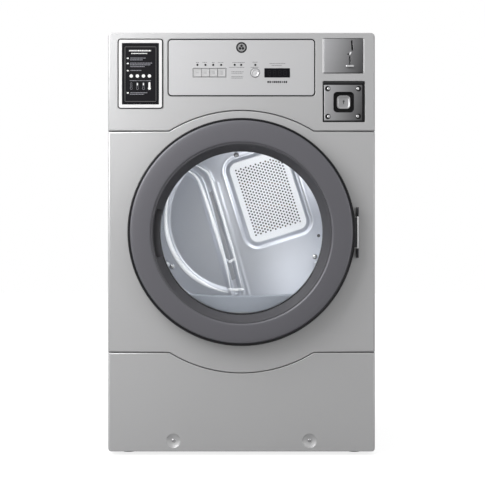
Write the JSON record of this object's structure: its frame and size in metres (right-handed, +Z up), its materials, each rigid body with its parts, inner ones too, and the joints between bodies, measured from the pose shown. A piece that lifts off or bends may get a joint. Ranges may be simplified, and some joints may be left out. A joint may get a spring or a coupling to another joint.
{
  "type": "clothes dryer",
  "caption": "Free-standing coin-operated front-load vented clothes dryer with a round glass door, turning drum, coin drawer and rear exhaust.",
  "frame": {"origin": "on the floor, at the centre of the dryer's footprint", "axes": "+Z up; the door faces -Y; +X is to the right of a person who faces the door"},
  "size_m": [0.686, 0.765, 1.086],
  "materials": {
    "cabinet_paint": "satin silver-grey powder coat",
    "zinc_steel": "zinc-coated sheet",
    "console_finish": "satin silver moulding",
    "display_black": "gloss black window",
    "circuit_board": "coated circuit board",
    "card_finish": "satin metal frame",
    "coin_steel": "brushed stainless steel",
    "dark_zinc": "dark zinc",
    "lock_steel": "polished",
    "throat_paint": "satin grey",
    "drum_steel": "satin stainless steel",
    "baffle_plastic": "moulded plastic",
    "heater_metal": "oxidised heater sheath",
    "motor_paint": "cast aluminium",
    "shaft_steel": "ground steel",
    "belt_rubber": "black rubber",
    "felt": "wool felt",
    "hinge_metal": "dark grey paint",
    "door_silver": "metallic grey moulding",
    "black_plastic": "black moulding",
    "door_glass": "clear toughened glass",
    "key_plastic": "pale grey moulding"
  },
  "bodies": {
    "cabinet": {"base_pan": "zinc_steel", "left_side_panel": "cabinet_paint", "right_side_panel": "cabinet_paint", "top_panel": "cabinet_paint", "rear_panel": "zinc_steel", "control_panel": "cabinet_paint", "door_panel": "cabinet_paint", "service_panel": "cabinet_paint", "console_insert": "console_finish", "display_window": "display_black", "control_board": "circuit_board", "card_frame": "card_finish", "coin_plate": "coin_steel", "coin_acceptor": "dark_zinc", "throat_ring": "throat_paint", "front_bulkhead": "throat_paint", "rear_bulkhead": "drum_steel", "inlet_grille": "drum_steel", "heater_duct": "zinc_steel", "heater_element": "heater_metal", "lint_duct": "zinc_steel", "blower_housing": "zinc_steel", "exhaust_duct": "zinc_steel", "motor_case": "motor_paint", "drive_belt": "belt_rubber", "drum_felts": "felt", "roller_shafts": "shaft_steel", "hinge_ears": "hinge_metal", "hinge_pin": "shaft_steel", "door_catch": "black_plastic", "terminal_block": "black_plastic", "panel_screws": "shaft_steel", "idler_bracket": "zinc_steel"},
    "door": {"door_ring": "door_silver", "door_liner": "black_plastic", "door_glass": "door_glass", "door_gasket": "belt_rubber", "hinge_arm": "hinge_metal"},
    "drum": {"drum_shell": "drum_steel", "drum_baffles": "baffle_plastic"},
    "left_roller": {"left_roller": "belt_rubber"},
    "right_roller": {"right_roller": "belt_rubber"},
    "motor_rotor": {"motor_shaft": "shaft_steel", "blower_wheel": "zinc_steel"},
    "idler_arm": {"idler_arm": "zinc_steel"},
    "idler_pulley": {"idler_pulley": "black_plastic"},
    "programme_key_1": {"programme_key_1": "key_plastic"},
    "programme_key_2": {"programme_key_2": "key_plastic"},
    "programme_key_3": {"programme_key_3": "key_plastic"},
    "programme_key_4": {"programme_key_4": "key_plastic"},
    "start_button": {"start_button": "key_plastic"},
    "coin_return_lever": {"coin_return_lever": "coin_steel"},
    "coin_drawer": {"vault_plate": "coin_steel", "coin_box": "zinc_steel"},
    "lock_knob": {"lock_knob": "lock_steel"},
    "lint_filter": {"lint_filter": "baffle_plastic"},
    "front_left_foot": {"front_left_foot": "black_plastic"},
    "front_right_foot": {"front_right_foot": "black_plastic"},
    "rear_left_foot": {"rear_left_foot": "black_plastic"},
    "rear_right_foot": {"rear_right_foot": "black_plastic"}
  },
  "joints": [
    {"name": "door_hinge", "type": "hinge", "parent": "cabinet", "child": "door", "pos_m": [0.296, -0.362, 0.5725], "axis": [0, 0, 1], "range_deg": [0, 175]},
    {"name": "drum_spin", "type": "hinge", "parent": "cabinet", "child": "drum", "pos_m": [0, 0, 0.612], "axis": [0, 1, 0], "continuous": true},
    {"name": "left_roller_spin", "type": "hinge", "parent": "cabinet", "child": "left_roller", "pos_m": [-0.20264, 0.24, 0.32259], "axis": [0, 1, 0], "continuous": true},
    {"name": "right_roller_spin", "type": "hinge", "parent": "cabinet", "child": "right_roller", "pos_m": [0.20264, 0.24, 0.32259], "axis": [0, 1, 0], "continuous": true},
    {"name": "motor_spin", "type": "hinge", "parent": "cabinet", "child": "motor_rotor", "pos_m": [0.09, 0, 0.15], "axis": [0, 1, 0], "continuous": true},
    {"name": "idler_swing", "type": "hinge", "parent": "cabinet", "child": "idler_arm", "pos_m": [0.192, 0, 0.125], "axis": [0, -1, 0], "range_deg": [0, 8], "stiffness_Nm_per_rad": 12, "springref_deg": -8.59},
    {"name": "idler_spin", "type": "hinge", "parent": "idler_arm", "child": "idler_pulley", "pos_m": [0.172, 0.014, 0.215], "axis": [0, 1, 0], "continuous": true},
    {"name": "key_1_press", "type": "slide", "parent": "cabinet", "child": "programme_key_1", "axis": [0, 1, 0], "range_m": [0, 0.002], "stiffness_N_per_m": 600, "springref_m": -0.001},
    {"name": "key_2_press", "type": "slide", "parent": "cabinet", "child": "programme_key_2", "axis": [0, 1, 0], "range_m": [0, 0.002], "stiffness_N_per_m": 600, "springref_m": -0.001},
    {"name": "key_3_press", "type": "slide", "parent": "cabinet", "child": "programme_key_3", "axis": [0, 1, 0], "range_m": [0, 0.002], "stiffness_N_per_m": 600, "springref_m": -0.001},
    {"name": "key_4_press", "type": "slide", "parent": "cabinet", "child": "programme_key_4", "axis": [0, 1, 0], "range_m": [0, 0.002], "stiffness_N_per_m": 600, "springref_m": -0.001},
    {"name": "start_press", "type": "slide", "parent": "cabinet", "child": "start_button", "axis": [0, 1, 0], "range_m": [0, 0.002], "stiffness_N_per_m": 600, "springref_m": -0.001},
    {"name": "coin_return", "type": "slide", "parent": "cabinet", "child": "coin_return_lever", "axis": [0, 0, 1], "range_m": [0, 0.018], "stiffness_N_per_m": 40, "springref_m": -0.01},
    {"name": "vault_slide", "type": "slide", "parent": "cabinet", "child": "coin_drawer", "axis": [0, -1, 0], "range_m": [0, 0.15]},
    {"name": "lock_turn", "type": "hinge", "parent": "coin_drawer", "child": "lock_knob", "pos_m": [0.2625, -0.3235, 0.9075], "axis": [0, 1, 0], "range_deg": [0, 90]},
    {"name": "filter_lift", "type": "slide", "parent": "cabinet", "child": "lint_filter", "axis": [0, 0, 1], "range_m": [0, 0.19]},
    {"name": "front_left_level", "type": "slide", "parent": "cabinet", "child": "front_left_foot", "axis": [0, 0, -1], "range_m": [0, 0.02]},
    {"name": "front_right_level", "type": "slide", "parent": "cabinet", "child": "front_right_foot", "axis": [0, 0, -1], "range_m": [0, 0.02]},
    {"name": "rear_left_level", "type": "slide", "parent": "cabinet", "child": "rear_left_foot", "axis": [0, 0, -1], "range_m": [0, 0.02]},
    {"name": "rear_right_level", "type": "slide", "parent": "cabinet", "child": "rear_right_foot", "axis": [0, 0, -1], "range_m": [0, 0.02]}
  ],
  "couplings": [
    {"joint": "left_roller_spin", "follows": "drum_spin", "ratio": -9.0857},
    {"joint": "right_roller_spin", "follows": "drum_spin", "ratio": -9.0857},
    {"joint": "motor_spin", "follows": "drum_spin", "ratio": 28.909},
    {"joint": "idler_spin", "follows": "drum_spin", "ratio": 12.72}
  ]
}
